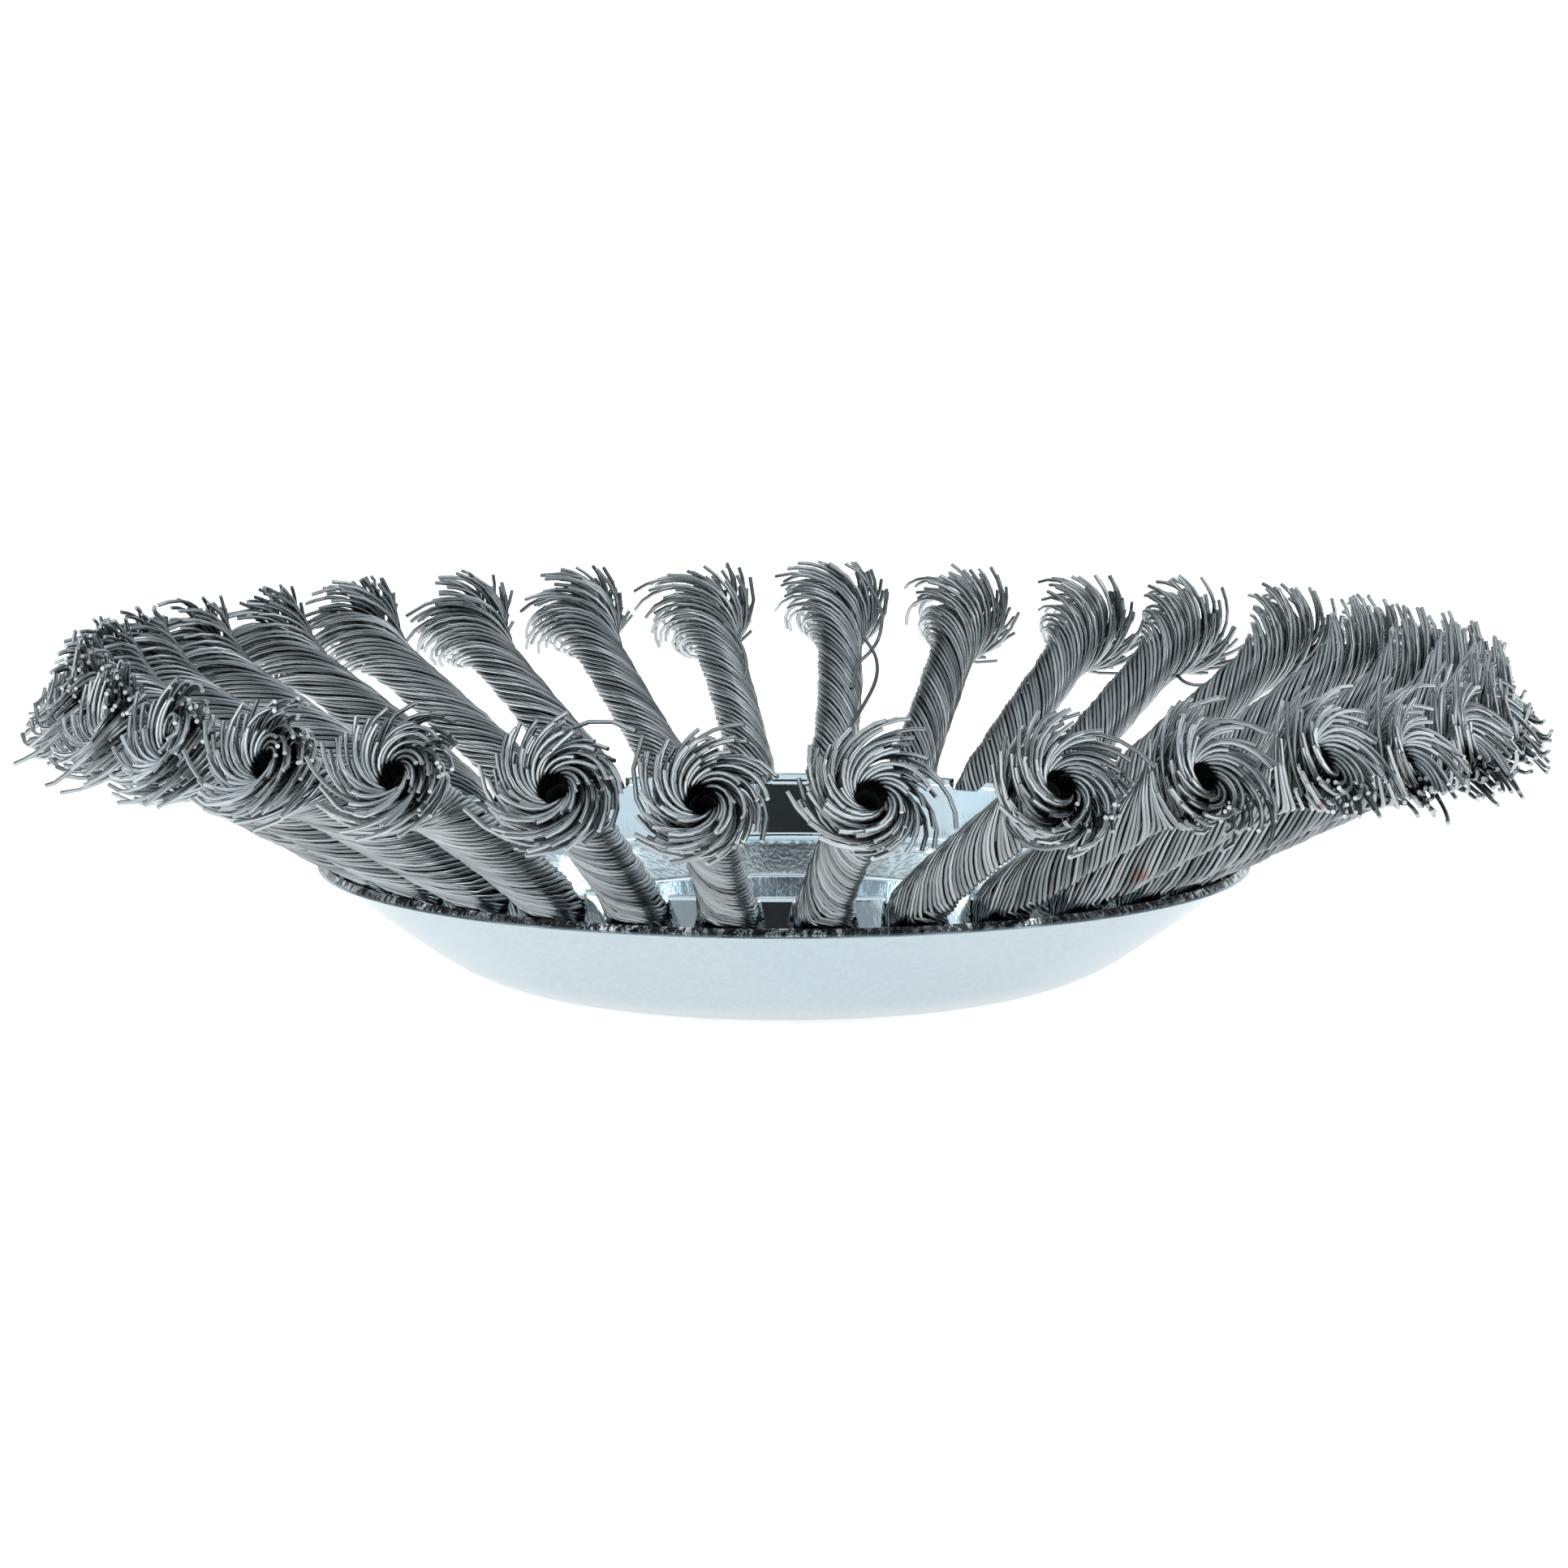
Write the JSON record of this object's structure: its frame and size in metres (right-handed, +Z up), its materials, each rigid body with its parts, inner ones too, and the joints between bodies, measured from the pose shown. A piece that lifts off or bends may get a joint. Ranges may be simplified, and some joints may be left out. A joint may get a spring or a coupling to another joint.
{
  "type": "wire weed brush",
  "caption": "Saucer-shaped twisted-knot wire brush for a strimmer, two steel pressings holding a circle of wire knots, with a central bore.",
  "frame": {"origin": "centre of the bore in the plane of the flat bottom face that the brush stands on", "axes": "+Z up along the brush's axis, out of the hollow side; -Y points at a finger between two knots"},
  "size_m": [0.2005, 0.201, 0.0467],
  "materials": {
    "cup_plating": "bright plated sheet steel, smooth",
    "plate_plating": "bright plated sheet steel, satin on its shelf",
    "ring_steel": "plain drawn wire",
    "wire": "hard drawn steel wire, slightly oxidised"
  },
  "bodies": {
    "root": {"outer_cup": "cup_plating", "inner_plate": "plate_plating", "anchor_ring": "ring_steel", "knot_01": "wire", "knot_02": "wire", "knot_03": "wire", "knot_04": "wire", "knot_05": "wire", "knot_06": "wire", "knot_07": "wire", "knot_08": "wire", "knot_09": "wire", "knot_10": "wire", "knot_11": "wire", "knot_12": "wire", "knot_13": "wire", "knot_14": "wire", "knot_15": "wire", "knot_16": "wire", "knot_17": "wire", "knot_18": "wire", "knot_19": "wire", "knot_20": "wire", "knot_21": "wire", "knot_22": "wire", "knot_23": "wire", "knot_24": "wire", "knot_25": "wire", "knot_26": "wire", "knot_27": "wire", "knot_28": "wire", "knot_29": "wire", "knot_30": "wire", "knot_31": "wire", "knot_32": "wire"}
  },
  "joints": []
}
